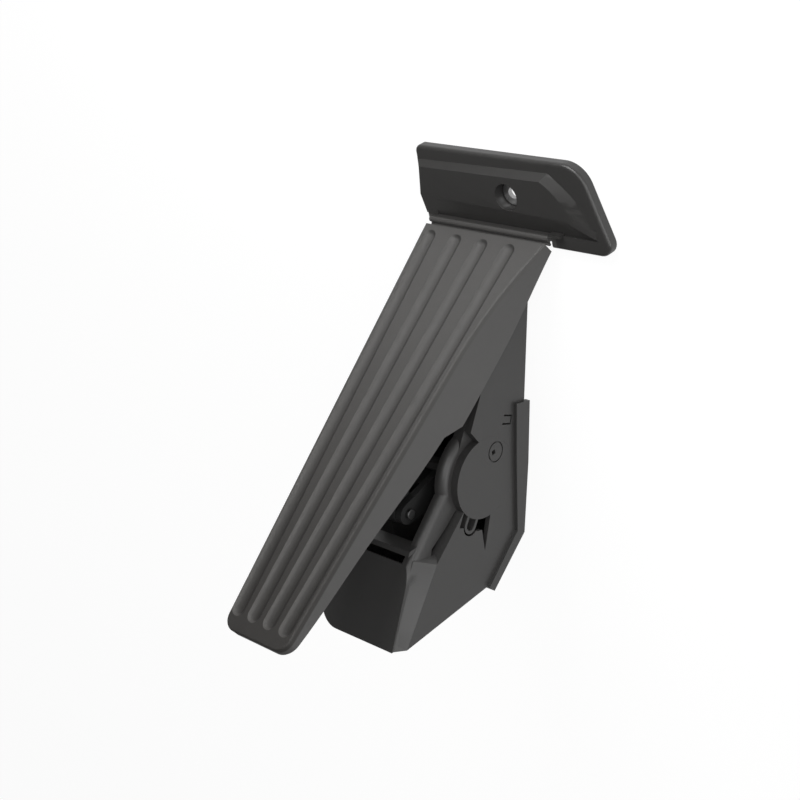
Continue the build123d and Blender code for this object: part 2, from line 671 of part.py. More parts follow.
with BuildPart() as pivot_cap:
    with BuildSketch(across(-CORE_HALF)):
        with Locations((PIVOT_Y, PIVOT_Z)):
            Circle(CAP_R)
    extrude(amount=-RECESS_DEPTH)
    with BuildSketch(across(-CORE_HALF)):
        with Locations((PIVOT_Y, PIVOT_Z)):
            Circle(CAP_R - 1.9)
        with Locations(CAP_SNAP):
            Circle(CAP_SNAP_R - 1.0, mode=Mode.SUBTRACT)
    extrude(amount=CAP_T - RECESS_DEPTH, mode=Mode.SUBTRACT)
    with BuildSketch(across(-WALL_HALF)):
        with Locations(CAP_SNAP):
            Circle(CAP_SNAP_R)
            Circle(CAP_SNAP_R - 0.8, mode=Mode.SUBTRACT)
    extrude(amount=1.0, mode=Mode.SUBTRACT)
    with BuildSketch(across(-WALL_HALF)):
        with Locations((CAP_SNAP[0] - 0.6, CAP_SNAP[1] + 1.8)):
            Rectangle(2.6, 2.8)
    extrude(amount=RECESS_DEPTH - 1.0, mode=Mode.SUBTRACT)
write(pivot_cap, "pivot_cap")


# Lever and its shaft

def link_outline(start, start_r, end, end_r):
    """Two discs joined by their outer tangents."""
    run = atan2(end[1] - start[1], end[0] - start[0])
    length = ((end[0] - start[0]) ** 2 + (end[1] - start[1]) ** 2) ** 0.5
    lean = atan2((length**2 - (start_r - end_r) ** 2) ** 0.5, start_r - end_r)
    tangents = []
    for turn, centre, radius in (
        (lean, start, start_r),
        (lean, end, end_r),
        (-lean, end, end_r),
        (-lean, start, start_r),
    ):
        tangents.append((centre[0] + radius * cos(run + turn), centre[1] + radius * sin(run + turn)))
    with BuildSketch() as outline:
        with BuildLine():
            Polyline(*tangents, close=True)
        make_face()
        with Locations(start):
            Circle(start_r)
        with Locations(end):
            Circle(end_r)
    return outline.sketch


PIVOT = (PIVOT_Y, PIVOT_Z)
LEVER_EYE = (LEVER_EYE_Y, LEVER_EYE_Z)
arm_outline = link_outline(PIVOT, HUB_R, LEVER_EYE, LEVER_EYE_R)
SPRING_ARM_PLANE = Plane(
    origin=(MID_X, PIVOT_Y, PIVOT_Z),
    x_dir=(0, cos(radians(SPRING_ANGLE)), sin(radians(SPRING_ANGLE))),
    z_dir=(1, 0, 0),
)

with BuildPart() as lever:
    with BuildSketch(across(0)):
        with Locations(PIVOT):
            Circle(HUB_R)
    extrude(amount=HUB_HALF, both=True)
    for side in (-1, 1):
        with BuildSketch(across(side * CHEEK_IN)):
            add(arm_outline)
        extrude(amount=side * (CHEEK_OUT - CHEEK_IN))
    with BuildSketch(across(0)):
        with BuildLine():
            Polyline(
                (PIVOT_Y - 6.0, PIVOT_Z),
                (PIVOT_Y - 4.0, PIVOT_Z + 26.0),
                (PIVOT_Y + 9.0, PIVOT_Z + 26.0),
                (PIVOT_Y + 9.0, PIVOT_Z),
                close=True,
            )
        make_face()
    extrude(amount=CHEEK_IN + 0.2, both=True)
    with BuildSketch(SPRING_ARM_PLANE):
        with Locations((SPRING_ARM, 0)):
            Circle(NOSE_R)
        with BuildLine():
            Polyline((4, 9.0), (SPRING_ARM, NOSE_R), (SPRING_ARM, -1.0), (4, -1.0), close=True)
        make_face()
    extrude(amount=CHEEK_IN + 1.0, both=True)
    with BuildSketch(across(0)):
        with Locations(PIVOT):
            Circle(SHAFT_R + SNUG)
        with Locations(LEVER_EYE):
            Circle(PIN_R + SNUG)
    extrude(amount=HUB_HALF + 1, both=True, mode=Mode.SUBTRACT)
write(lever, "lever")

with BuildPart() as pivot_shaft:
    with BuildSketch(across(-CORE_HALF - 1.8)):
        with Locations(PIVOT):
            Circle(SHAFT_R)
    extrude(amount=CORE_HALF + 1.8 + ROTOR_OUT - 0.6)
    chamfer(pivot_shaft.edges().filter_by(GeomType.CIRCLE), 0.5)
write(pivot_shaft, "pivot_shaft")

with BuildPart() as shaft_bushes:
    for side in (-1, 1):
        with BuildSketch(across(side * BOSS_HALF)):
            with Locations(PIVOT):
                Circle(BUSH_OUT_R)
                Circle(SHAFT_R + RUN, mode=Mode.SUBTRACT)
        extrude(amount=side * BUSH_L)
write(shaft_bushes, "shaft_bushes")

with BuildPart() as shaft_clip:
    with BuildSketch(across(-CORE_HALF - SIDE_GAP)):
        with Locations(PIVOT):
            Circle(CLIP_R)
            Circle(SHAFT_R + SNUG, mode=Mode.SUBTRACT)
        for angle in (90, 210, 330):
            with Locations(Location((PIVOT_Y, PIVOT_Z, 0), (0, 0, angle))):
                with Locations((CLIP_NOTCH_R, 0)):
                    Rectangle(1.6, 1.2, mode=Mode.SUBTRACT)
    extrude(amount=-0.9)
write(shaft_clip, "shaft_clip")


# Link rod and its pins

LUG = (LUG_Y, LUG_Z)

with BuildPart() as link_rod:
    with BuildSketch(across(0)):
        add(link_outline(LUG, ROD_EYE_FRONT_R, LEVER_EYE, ROD_EYE_REAR_R))
    extrude(amount=ROD_HALF, both=True)
    rod_run = atan2(LEVER_EYE_Z - LUG_Z, LEVER_EYE_Y - LUG_Y)
    rod_length = ((LEVER_EYE_Y - LUG_Y) ** 2 + (LEVER_EYE_Z - LUG_Z) ** 2) ** 0.5
    rod_mid = ((LUG_Y + LEVER_EYE_Y) / 2, (LUG_Z + LEVER_EYE_Z) / 2)
    for side in (-1, 1):
        with BuildSketch(across(side * ROD_HALF)):
            with Locations(Location((rod_mid[0], rod_mid[1], 0), (0, 0, degrees(rod_run)))):
                SlotOverall(rod_length - 2 * ROD_SOLID_END, ROD_POCKET_W)
        extrude(amount=-side * ROD_POCKET_DEPTH, mode=Mode.SUBTRACT)
    with BuildSketch(across(0)):
        with Locations(LUG):
            Circle(PIN_R + RUN)
        with Locations(LEVER_EYE):
            Circle(PIN_R + OPEN_PIN_GAP)
    extrude(amount=ROD_HALF + 1, both=True, mode=Mode.SUBTRACT)
write(link_rod, "link_rod")


def headed_pin(centre, half):
    """Cross pin with a flat head on its right end."""
    with BuildPart() as pin:
        with BuildSketch(across(-half)):
            with Locations(centre):
                Circle(PIN_R)
        extrude(amount=2 * half)
        chamfer(pin.edges().filter_by(GeomType.CIRCLE), 0.4)
        with BuildSketch(across(half - 1.2)):
            with Locations(centre):
                Circle(PIN_R + 1.4)
        extrude(amount=1.2)
    return pin


rod_pin_front = headed_pin(LUG, CHEEK_OUT + 1.5)
write(rod_pin_front, "rod_pin_front")
rod_pin_rear = headed_pin(LEVER_EYE, CHEEK_OUT + 2.4)
write(rod_pin_rear, "rod_pin_rear")


# Return springs on their guide post

with BuildPart() as spring_cup:
    with BuildSketch(Plane.XY.offset(CUP_Z - CUP_T)):
        with Locations((MID_X, SPRING_Y)):
            Circle(CUP_R)
    extrude(amount=CUP_T)
    chamfer(spring_cup.edges().group_by(Axis.Z)[-1], 0.5)
    with BuildSketch(Plane.XY.offset(STEM_LOW)):
        with Locations((MID_X, SPRING_Y)):
            Circle(STEM_R)
    extrude(amount=CUP_Z - CUP_T - STEM_LOW)
    with BuildSketch(Plane.XY.offset(STEM_LOW)):
        with Locations((MID_X, SPRING_Y)):
            Circle(GUIDE_R + 2 * RUN)
    extrude(amount=CUP_Z - CUP_T - STEM_LOW, mode=Mode.SUBTRACT)
write(spring_cup, "spring_cup")


def coil(mean_r, wire_r, turns):
    """Compression spring between the seat and the cup, its wire drawn in short straight lengths."""
    low = SEAT_Z + RUN + wire_r
    rise = CUP_Z - CUP_T - RUN - wire_r - low
    with BuildPart() as spring:
        for step in range(COIL_STEPS * turns + 1):
            along = 2 * pi * step / COIL_STEPS
            outward = (cos(along), sin(along), 0)
            centre = (
                MID_X + mean_r * cos(along),
                SPRING_Y + mean_r * sin(along),
                low + rise * step / (COIL_STEPS * turns),
            )
            run = (-mean_r * sin(along), mean_r * cos(along), rise / (2 * pi * turns))
            with BuildSketch(Plane(origin=centre, x_dir=outward, z_dir=run)):
                RegularPolygon(wire_r, 6)
        loft(ruled=True)
    return spring


return_spring_outer = coil(OUTER_COIL_R, OUTER_WIRE_R, OUTER_TURNS)
write(return_spring_outer, "return_spring_outer")
return_spring_inner = coil(INNER_COIL_R, INNER_WIRE_R, INNER_TURNS)
write(return_spring_inner, "return_spring_inner")

with BuildPart() as stop_pad:
    with BuildSketch(across(0)):
        with Locations((STOP_Y[1] + PAD_T / 2 + SNUG, (STOP_Z[0] + STOP_Z[1]) / 2)):
            Rectangle(PAD_T, STOP_Z[1] - STOP_Z[0] - 1.0)
    extrude(amount=CHEEK_OUT + 1.0, both=True)
write(stop_pad, "stop_pad")


# Sensor

with BuildPart() as rotor:
    with BuildSketch(across(ROTOR_IN)):
        with Locations(PIVOT):
            Circle(ROTOR_R)
            Circle(SHAFT_R + SNUG, mode=Mode.SUBTRACT)
    extrude(amount=ROTOR_OUT - ROTOR_IN)
write(rotor, "rotor")

with BuildPart() as rotor_magnet:
    with BuildSketch(across(ROTOR_OUT)):
        with Locations(PIVOT):
            Circle(MAGNET_R)
            Circle(MAGNET_R - 3.0, mode=Mode.SUBTRACT)
    extrude(amount=MAGNET_OUT - ROTOR_OUT)
write(rotor_magnet, "rotor_magnet")

with BuildPart() as sensor_board:
    with BuildSketch(across(BOARD_IN)):
        with Locations(PIVOT):
            Circle(BOARD_R)
    extrude(amount=BOARD_T)
write(sensor_board, "sensor_board")

with BuildPart() as sensor_chip:
    with BuildSketch(across(BOARD_IN)):
        with Locations(PIVOT):
            Rectangle(5.0, 4.4)
    extrude(amount=-0.9)
write(sensor_chip, "sensor_chip")

with BuildPart() as sensor_seal:
    with BuildSketch(across(CHAMBER_OUT)):
        with Locations(PIVOT):
            Circle(SEAL_R + SEAL_T / 2)
            Circle(SEAL_R - SEAL_T / 2, mode=Mode.SUBTRACT)
    extrude(amount=-SEAL_DEPTH + SNUG)
write(sensor_seal, "sensor_seal")

SOCKET_MID = ((SOCKET_Y[0] + SOCKET_Y[1]) / 2, (SOCKET_Z[0] + SOCKET_Z[1]) / 2)
SOCKET_OUT = CHAMBER_OUT + SNUG + COVER_T

with BuildPart() as sensor_cover:
    with BuildSketch(across(CHAMBER_OUT + SNUG)):
        with Locations(PIVOT):
            Circle(CHAMBER_R)
        with Locations([about_pivot(EAR_RADIUS, a) for a in EAR_ANGLES]):
            Circle(EAR_R)
        add(link_outline(PIVOT, 14.0, SOCKET_MID, 7.0))
        with Locations([about_pivot(EAR_RADIUS, a) for a in EAR_ANGLES]):
            Circle(SCREW_R + 0.2, mode=Mode.SUBTRACT)
    extrude(amount=COVER_T)
    with BuildSketch(across(CHAMBER_OUT + SNUG)):
        with Locations([about_pivot(BOARD_R - 3.0, a) for a in (0, 120, 240)]):
            Circle(1.8)
    extrude(amount=-(CHAMBER_OUT - BOARD_IN - BOARD_T))
    with BuildSketch(across(SOCKET_IN)):
        with Locations(SOCKET_MID):
            RectangleRounded(SOCKET_Y[1] - SOCKET_Y[0], SOCKET_Z[1] - SOCKET_Z[0], 1.2)
    extrude(amount=SOCKET_OUT - SOCKET_IN)
    with BuildSketch(Plane.XZ.offset(-SOCKET_Y[0])):
        with Locations((MID_X + (SOCKET_IN + SOCKET_OUT) / 2, SOCKET_MID[1])):
            RectangleRounded(
                SOCKET_OUT - SOCKET_IN - 2 * SOCKET_WALL,
                SOCKET_Z[1] - SOCKET_Z[0] - 2 * SOCKET_WALL,
                1.0,
            )
    extrude(amount=-(SOCKET_Y[1] - SOCKET_Y[0] - 2.4), mode=Mode.SUBTRACT)
write(sensor_cover, "sensor_cover")

with BuildPart() as terminals:
    for column in (-1, 1):
        for row in range(TERMINALS // 2):
            with Locations(
                (
                    MID_X + (SOCKET_IN + SOCKET_OUT) / 2 + column * 1.9,
                    SOCKET_Y[1] - 2.4 - SNUG,
                    SOCKET_MID[1] + (row - 1) * 2.9,
                )
            ):
                Box(0.6, 11.0, 1.2, align=(Align.CENTER, Align.MAX, Align.CENTER))
write(terminals, "terminals")

with BuildPart() as cover_screws:
    for angle in EAR_ANGLES:
        centre = about_pivot(EAR_RADIUS, angle)
        with BuildSketch(across(CHAMBER_OUT - SCREW_L + 0.4)):
            with Locations(centre):
                Circle(SCREW_R)
        extrude(amount=SCREW_L - 0.4 + 2 * SNUG + COVER_T)
        with BuildSketch(across(CHAMBER_OUT + 2 * SNUG + COVER_T)):
            with Locations(centre):
                Circle(SCREW_HEAD_R)
        extrude(amount=1.7)
        with BuildSketch(across(CHAMBER_OUT + 2 * SNUG + COVER_T + 1.7)):
            with Locations(centre):
                RegularPolygon(1.2, 6)
        extrude(amount=-1.0, mode=Mode.SUBTRACT)
write(cover_screws, "cover_screws")
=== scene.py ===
"""Looks of the floor-mounted accelerator pedal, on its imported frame: finishes, edges, lights, camera."""

import json
from math import cos, radians, sin

import bmesh
import bpy
from mathutils import Matrix, Vector


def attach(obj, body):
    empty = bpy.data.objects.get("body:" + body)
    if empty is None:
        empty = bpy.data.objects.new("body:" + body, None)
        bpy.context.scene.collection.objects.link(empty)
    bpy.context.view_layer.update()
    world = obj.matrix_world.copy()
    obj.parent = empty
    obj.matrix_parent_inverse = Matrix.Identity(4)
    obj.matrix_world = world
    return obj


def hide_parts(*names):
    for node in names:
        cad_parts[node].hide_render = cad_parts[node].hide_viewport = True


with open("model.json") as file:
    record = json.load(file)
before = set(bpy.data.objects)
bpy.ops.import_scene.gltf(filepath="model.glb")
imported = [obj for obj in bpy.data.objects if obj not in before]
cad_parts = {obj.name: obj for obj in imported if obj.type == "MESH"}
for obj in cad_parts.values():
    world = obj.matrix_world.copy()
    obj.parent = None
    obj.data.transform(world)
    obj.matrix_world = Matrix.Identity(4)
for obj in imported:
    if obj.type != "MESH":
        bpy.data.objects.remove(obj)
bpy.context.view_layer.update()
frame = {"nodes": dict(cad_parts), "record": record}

SCENE = bpy.context.scene

# The photograph's camera, in metres in the pedal's frame
CAMERA_AT = (-0.52186, -0.29898, 0.5806)
CAMERA_RIGHT = (-0.7224, 0.1778, -0.6682)
CAMERA_UP = (0.2089, -0.8652, -0.4560)
CAMERA_BACK = (-0.6592, -0.4689, 0.5879)
LENS_MM, SENSOR_MM = 67.5, 36.0

RIGHT = Vector((1, 0, 0))
FORWARD = Vector((0, 1, 0))

# The tread's face: its origin at the hinge end, its run and the way down into the pedal
TREAD_ORIGIN = Vector((0.0275, 0.02429, 0.00966))
TREAD_ANGLE = radians(57.0)
ALONG_TREAD = Vector((0, cos(TREAD_ANGLE), sin(TREAD_ANGLE)))
INTO_TREAD = Vector((0, sin(TREAD_ANGLE), -cos(TREAD_ANGLE)))
TREAD_L = 0.2593

# The flutes in the face: how many, their ends along it, spacing at both ends, shift and half width
FLUTE_COUNT = 4
FLUTE_ENDS = (0.00834, 0.24666)
FLUTE_SPACING = (0.0196, 0.0124)
FLUTE_SHIFT = 0.0006
FLUTE_HALF = 0.00447

# Where a flank lies across a flute, in half widths, and how it fades from side to side, in metres
FLANK_STARTS = (0.45, 0.85)
FLANK_ENDS = (1.0, 1.1)
FLANK_FADE, FLANK_OVERLAP = 0.003, 0.0005

# The depth over which the face's colour and grain give way to the skirts'
FACE_DEPTH = (0.0028, 0.0042)

# The run over which painted shade darkens the face towards the toe
TOE_SHADE_RUN = (-0.02, TREAD_L * 0.95)

# The rail along the film hinge: its back edge, its left end and the softness of its colour
RAIL_BACK_Y, RAIL_LEFT_X, RAIL_FADE = 0.0196, -0.0285, 0.0003

# The lever's pivot where it meets the housing's left wall, and the seat of its cap there
PIVOT = Vector((-0.0025, 0.1496, 0.0655))
CAP_SEAT_R = 0.0241
WALL_SLACK, SEAT_SLACK = 0.0003, 0.0004

# Tones: the darker and the lighter patches, and how warm both are
FACE_AT_HINGE = (0.058, 0.074, 0.03)
FACE_SHADED_AT_TOE = (0.016, 0.024, 0.09)
SKIRT = (0.056, 0.066, 0.02)
HEEL_PLATE = (0.026, 0.033, 0.03)
HEEL_RAIL = (0.055, 0.068, 0.03)

# The flutes' flanks as painted shade and painted light: tone and warmth, and how much of it shows
FLANK_PAINTED_SHADE, FLANK_SHADE_SHARE = (0.009, 0.06), 0.6
FLANK_PAINTED_LIGHT, FLANK_LIGHT_AT_HINGE, FLANK_LIGHT_MORE_AT_TOE = (0.085, 0.04), 0.05, 0.45

# Marks and grain, in repeats per metre; the last two are for a grain of one millimetre
FLOW_MARKS = 22.0
TONE_PATCHES, TREAD_PATCHES = 140.0, 260.0
TREAD_GRAIN, TREAD_PITS = 1500.0, 2000.0
HEEL_GRAIN, HEEL_PITS = 2000.0, 2600.0
PLATING_CLOUDS, SCRATCHES = 90.0, 2600.0
COPPER_TRACKS, MASK_RIPPLE = 420.0, 300.0
GRAINS_PER_M, PITS_PER_M = 1000.0, 1300.0

# Edges over the first angle are eased; after that only those over the second stay hard lines
EASE_ABOVE, SMOOTH_BELOW = radians(28.0), radians(48.0)
EDGE_SEGMENTS = 2
MERGE_WITHIN, FLAT_WITHIN = 0.000004, radians(0.6)
EASED_MM = {
    "heel_plate": 0.35,
    "housing": 0.4,
    "tread": 0.3,
    "lever": 0.4,
    "link_rod": 0.4,
    "sensor_cover": 0.4,
    "spring_cup": 0.2,
}

# The pale floor: its lit tone, its glow, and how much of the glow camera and gloss see
FLOOR_Z, FLOOR_SIZE = -0.0006, 8.0
FLOOR_TONE, FLOOR_ROUGHNESS = 0.8, 0.9
FLOOR_GLOW, FLOOR_GLOW_SHARE, GLOSS_SHARE = 1.08, 0.86, 0.5
WORLD_STRENGTH = 0.18

# The lamps: place, what they aim at, size and power in watts
CENTRE = (0.02, 0.09, 0.09)
HINGE_LINE = (0.03, 0.05, 0.05)
LAMPS = {
    "left": ((-1.6, 0.1, 0.3), CENTRE, (1.2, 1.2), 14.0),
    "back": ((0.0, -1.2, 1.2), CENTRE, (1.2, 1.2), 2.5),
    "camera_side": ((-0.8, -0.5, 0.9), CENTRE, (0.8, 0.8), 6.5),
    "hinge_side": ((0.02, -0.5, 0.3), HINGE_LINE, (0.35, 0.25), 2.6),
}

# The Mix node's two colours in and its colour out
MIX_FIRST, MIX_SECOND, MIX_OUT = 6, 7, 2


# Shader maths as expressions

class Socket:
    """One value in a node tree; the operators add Math nodes."""

    def __init__(self, shop, link):
        self.shop = shop
        self.link = link

    def _math(self, operation, first, second):
        return self.shop.node("ShaderNodeMath", {"operation": operation}, {0: first, 1: second})

    def __add__(self, other):
        return self._math("ADD", self, other)

    __radd__ = __add__

    def __sub__(self, other):
        return self._math("SUBTRACT", self, other)

    def __rsub__(self, other):
        return self._math("SUBTRACT", other, self)

    def __mul__(self, other):
        return self._math("MULTIPLY", self, other)

    __rmul__ = __mul__

    def power(self, exponent):
        return self._math("POWER", self, exponent)

    def at_least(self, other):
        return self._math("MAXIMUM", self, other)

    def step(self, low, high):
        """0 below low, 1 above high, smooth between them."""
        values = {"Value": self, "From Min": low, "From Max": high}
        return self.shop.node("ShaderNodeMapRange", {"interpolation_type": "SMOOTHSTEP"}, values)

    def around_zero(self, width):
        """A pattern from 0 to 1, turned into an offset of the given width around zero."""
        return (self - 0.5) * width


class Finish:
    """One material being made: its tree and the nodes added to it."""

    def __init__(self, name):
        self.material = bpy.data.materials.new(name)
        self.material.use_nodes = True
        self.tree = self.material.node_tree
        self.shader = self.tree.nodes["Principled BSDF"]
        self.output = self.tree.nodes["Material Output"]

    def node(self, kind, settings=None, values=None, out=0):
        """A new node with its settings and its sockets' values or links; gives one of its outputs."""
        made = self.tree.nodes.new(kind)
        for key, value in (settings or {}).items():
            setattr(made, key, value)
        for key, value in (values or {}).items():
            self.feed(made.inputs[key], value)
        return Socket(self, made.outputs[out])

    def feed(self, target, value):
        if isinstance(value, Socket):
            self.tree.links.new(value.link, target)
        else:
            target.default_value = value

    def set(self, name, value):
        self.feed(self.shader.inputs[name], value)

    def place(self):
        return self.node("ShaderNodeTexCoord", out="Object")

    def noise(self, scale, detail=3.0, roughness=0.5):
        values = {"Vector": self.place(), "Scale": scale, "Detail": detail, "Roughness": roughness}
        return self.node("ShaderNodeTexNoise", values=values, out="Fac")

    def cells(self, scale):
        values = {"Vector": self.place(), "Scale": scale}
        return self.node("ShaderNodeTexVoronoi", values=values, out="Distance")

    def distance_along(self, direction, origin):
        """How far a place lies from the origin along a direction."""
        values = {0: self.place(), 1: direction}
        reach = self.node("ShaderNodeVectorMath", {"operation": "DOT_PRODUCT"}, values, out="Value")
        return reach - direction.dot(origin)

    def blend(self, factor, first, second):
        values = {"Factor": factor, MIX_FIRST: first, MIX_SECOND: second}
        return self.node("ShaderNodeMix", {"data_type": "RGBA"}, values, out=MIX_OUT)

    def bump(self, height, strength, distance):
        values = {"Height": height, "Strength": strength, "Distance": distance}
        return self.node("ShaderNodeBump", values=values)

    def flow_and_patches(self, patches, flow_share):
        """Soft marks where the plastic flowed into the mould, with smaller patches over them."""
        return self.noise(FLOW_MARKS, 4.0, 0.6) * flow_share + self.noise(patches, 2.0) * (1 - flow_share)

    def mottled(self, shade, darker, lighter, warm):
        return self.blend(shade, grey(darker, warm), grey(lighter, warm))


# Finishes of the pedal's materials

def grey(level, warm):
    """A neutral tone of the given linear brightness, a little warmer or cooler."""
    return (level * (1 + warm), level, level * (1 - warm), 1.0)


def moulded(name, tone, warm, roughness, grain_mm, grain_depth, specular=0.5):
    """Grained plastic: a leathery spark-eroded grain with soft flow marks in its colour and gloss."""
    finish = Finish(name)
    shade = finish.flow_and_patches(TONE_PATCHES, flow_share=0.65)
    finish.set("Base Color", finish.mottled(shade, tone * 0.88, tone * 1.12, warm))
    grain = finish.noise(GRAINS_PER_M / grain_mm, 3.0, 0.55)
    pits = finish.cells(PITS_PER_M / grain_mm)
    finish.set("Roughness", roughness + shade.around_zero(0.12) + grain.around_zero(0.06))
    finish.set("Normal", finish.bump(grain * 0.7 + pits * 0.3, strength=0.55, distance=grain_depth))
    finish.set("Specular IOR Level", specular)
    return finish.material


def flute_flanks(finish, along):
    """Two masks: painted shade on the flutes' left and hinge-side flanks, painted light on their right and
    toe-side ones.
    """
    across = finish.distance_along(RIGHT, TREAD_ORIGIN)
    share = (along - FLUTE_ENDS[0]) * (1 / (FLUTE_ENDS[1] - FLUTE_ENDS[0]))
    past_toe = (along - FLUTE_ENDS[1]).at_least(0.0)
    past_hinge = (FLUTE_ENDS[0] - along).at_least(0.0)
    past = past_toe - past_hinge
    dark, pale = 0.0, 0.0
    for index in range(FLUTE_COUNT):
        steps_off_centre = index - (FLUTE_COUNT - 1) / 2
        hinge_end, toe_end = (steps_off_centre * spacing + FLUTE_SHIFT for spacing in FLUTE_SPACING)
        off = across - (share * (toe_end - hinge_end) + hinge_end)
        out = (off * off + past * past).power(0.5)
        starts = out.step(*(FLUTE_HALF * width for width in FLANK_STARTS))
        ends = out.step(*(FLUTE_HALF * width for width in FLANK_ENDS))
        flank = starts * (1.0 - ends)
        side = off + past
        dark = flank * (1.0 - side.step(-FLANK_FADE, FLANK_OVERLAP)) + dark
        pale = flank * side.step(-FLANK_OVERLAP, FLANK_FADE) + pale
    return dark, pale


def tread_finish():
    """Grained, brownish face with painted shade darkening it towards the toe and on the flutes' flanks,
    painted light on the others; greyer and smoother skirts.
    """
    finish = Finish("tread_grain")
    depth = finish.distance_along(INTO_TREAD, TREAD_ORIGIN)
    along = finish.distance_along(ALONG_TREAD, TREAD_ORIGIN)
    face = 1.0 - depth.step(*FACE_DEPTH)
    to_toe = along.step(*TOE_SHADE_RUN)
    shade = finish.flow_and_patches(TREAD_PATCHES, flow_share=0.5)
    dark, pale = flute_flanks(finish, along)
    # Painted shade: the face goes from its hinge tone to a darker, browner tone at the toe
    at_hinge, at_toe = finish.mottled(shade, *FACE_AT_HINGE), finish.mottled(shade, *FACE_SHADED_AT_TOE)
    face_tone = finish.blend(to_toe, at_hinge, at_toe)
    # Painted shade on the flutes' left and hinge-side flanks, painted light on the others, more towards the
    # toe
    face_tone = finish.blend(dark * FLANK_SHADE_SHARE, face_tone, grey(*FLANK_PAINTED_SHADE))
    face_tone = finish.blend(pale * (to_toe * FLANK_LIGHT_MORE_AT_TOE + FLANK_LIGHT_AT_HINGE), face_tone, grey(*FLANK_PAINTED_LIGHT))
    finish.set("Base Color", finish.blend(face, finish.mottled(shade, *SKIRT), face_tone))
    grain = finish.noise(TREAD_GRAIN, 3.0, 0.6)
    pits = finish.cells(TREAD_PITS)
    height = (grain * 0.6 + pits * 0.4) * (face * 0.75 + 0.25)
    finish.set("Normal", finish.bump(height, strength=0.7, distance=0.00012))
    finish.set("Roughness", 0.5 + face * 0.12 + grain.around_zero(0.1))
    return finish.material


def heel_finish():
    """Satin plastic; the rail along the film hinge is paler, like the tread."""
    finish = Finish("heel_satin")
    shade = finish.flow_and_patches(TONE_PATCHES, flow_share=0.65)
    past_back = finish.distance_along(FORWARD, FORWARD * RAIL_BACK_Y).step(-RAIL_FADE, RAIL_FADE)
    past_left = finish.distance_along(RIGHT, RIGHT * RAIL_LEFT_X).step(-RAIL_FADE, RAIL_FADE)
    plate, rail = finish.mottled(shade, *HEEL_PLATE), finish.mottled(shade, *HEEL_RAIL)
    finish.set("Base Color", finish.blend(past_back * past_left, plate, rail))
    grain = finish.noise(HEEL_GRAIN, 3.0, 0.55) * 0.7 + finish.cells(HEEL_PITS) * 0.3
    finish.set("Roughness", 0.36 + shade.around_zero(0.12))
    finish.set("Normal", finish.bump(grain, strength=0.55, distance=0.00002))
    return finish.material


def metal(name, tone, roughness, tint=(1.0, 1.0, 1.0)):
    """Plated or drawn metal with fine scratches and a cloudy plating."""
    finish = Finish(name)
    cloud = finish.noise(PLATING_CLOUDS, 4.0, 0.6)
    scratch = finish.noise(SCRATCHES, 2.0)
    dull = [tone * 0.82 * share for share in tint] + [1.0]
    bright = [tone * share for share in tint] + [1.0]
    finish.set("Base Color", finish.blend(cloud, dull, bright))
    finish.set("Metallic", 1.0)
    finish.set("Roughness", roughness + cloud.around_zero(0.2) + scratch.around_zero(0.1))
    finish.set("Normal", finish.bump(scratch, strength=0.25, distance=0.00002))
    return finish.material


def board_green():
    """Solder mask over the board, with the copper showing as paler tracks."""
    finish = Finish("solder_mask")
    track = finish.cells(COPPER_TRACKS).step(0.3, 0.42)
    finish.set("Base Color", finish.blend(track, (0.01, 0.09, 0.03, 1.0), (0.02, 0.15, 0.055, 1.0)))
    finish.set("Roughness", 0.35 + finish.noise(MASK_RIPPLE) * 0.1)
    return finish.material


FINISHES = {
    "tread_plastic": tread_finish(),
    "heel_plastic": heel_finish(),
    "housing_plastic": moulded(
        "housing_satin", tone=0.034, warm=0.02, roughness=0.42, grain_mm=0.6, grain_depth=0.00003
    ),
    "cover_plastic": moulded(
        "cover_satin", tone=0.028, warm=0.0, roughness=0.42, grain_mm=0.6, grain_depth=0.00003
    ),
    # The lever's plastic is dark, and set darker still as painted shade for its place inside the housing
    "lever_plastic": moulded(
        "lever_dull_painted_shade", tone=0.015, warm=0.0, roughness=0.6, grain_mm=0.5, grain_depth=0.00003, specular=0.3
    ),
    "hinge_plastic": moulded(
        "hinge_smooth", tone=0.055, warm=0.03, roughness=0.42, grain_mm=0.9, grain_depth=0.00001
    ),
    "bearing_plastic": moulded(
        "bearing_natural", tone=0.5, warm=0.03, roughness=0.45, grain_mm=0.7, grain_depth=0.00002
    ),
    "rubber": moulded(
        "rubber_dull", tone=0.018, warm=0.0, roughness=0.8, grain_mm=0.5, grain_depth=0.00003
    ),
    "steel": metal("zinc_plate", tone=0.62, roughness=0.3),
    "magnet": metal("sintered_magnet", tone=0.2, roughness=0.5),
    "brass": metal("tinned_contact", tone=0.75, roughness=0.28, tint=(1.0, 0.93, 0.8)),
    "board": board_green(),
    "chip": moulded(
        "chip_mould", tone=0.02, warm=0.0, roughness=0.5, grain_mm=0.3, grain_depth=0.00002
    ),
}
# Painted shade: the rod pins, zinc-plated steel, get a dark, dull steel for the shade inside the housing's
# opening
PIN_SHADE_STEEL = metal("pin_painted_shade", tone=0.12, roughness=0.5)
PINS_IN_PAINTED_SHADE = ("rod_pin_front", "rod_pin_rear")

SLOT_OF = {part["node"]: part["material_slot"] for part in frame["record"]["subparts"]}
BODIES = frame["record"]["behaviour"]["bodies"]
BODY_OF = {member: body for body, members in BODIES.items() for member in members}


# The pedal's pieces

def dress(node):
    """Give a node of the frame its finish; its mesh stays as it is."""
    materials = frame["nodes"][node].data.materials
    materials.clear()
    materials.append(PIN_SHADE_STEEL if node in PINS_IN_PAINTED_SHADE else FINISHES[SLOT_OF[node]])


def at_cap_seat(place):
    """True on the mouth of the pivot cap's seat, whose edge stays sharp and closes on the cap."""
    out = Vector((0, place.y - PIVOT.y, place.z - PIVOT.z)).length
    return place.x < PIVOT.x + WALL_SLACK and abs(out - CAP_SEAT_R) < SEAT_SLACK


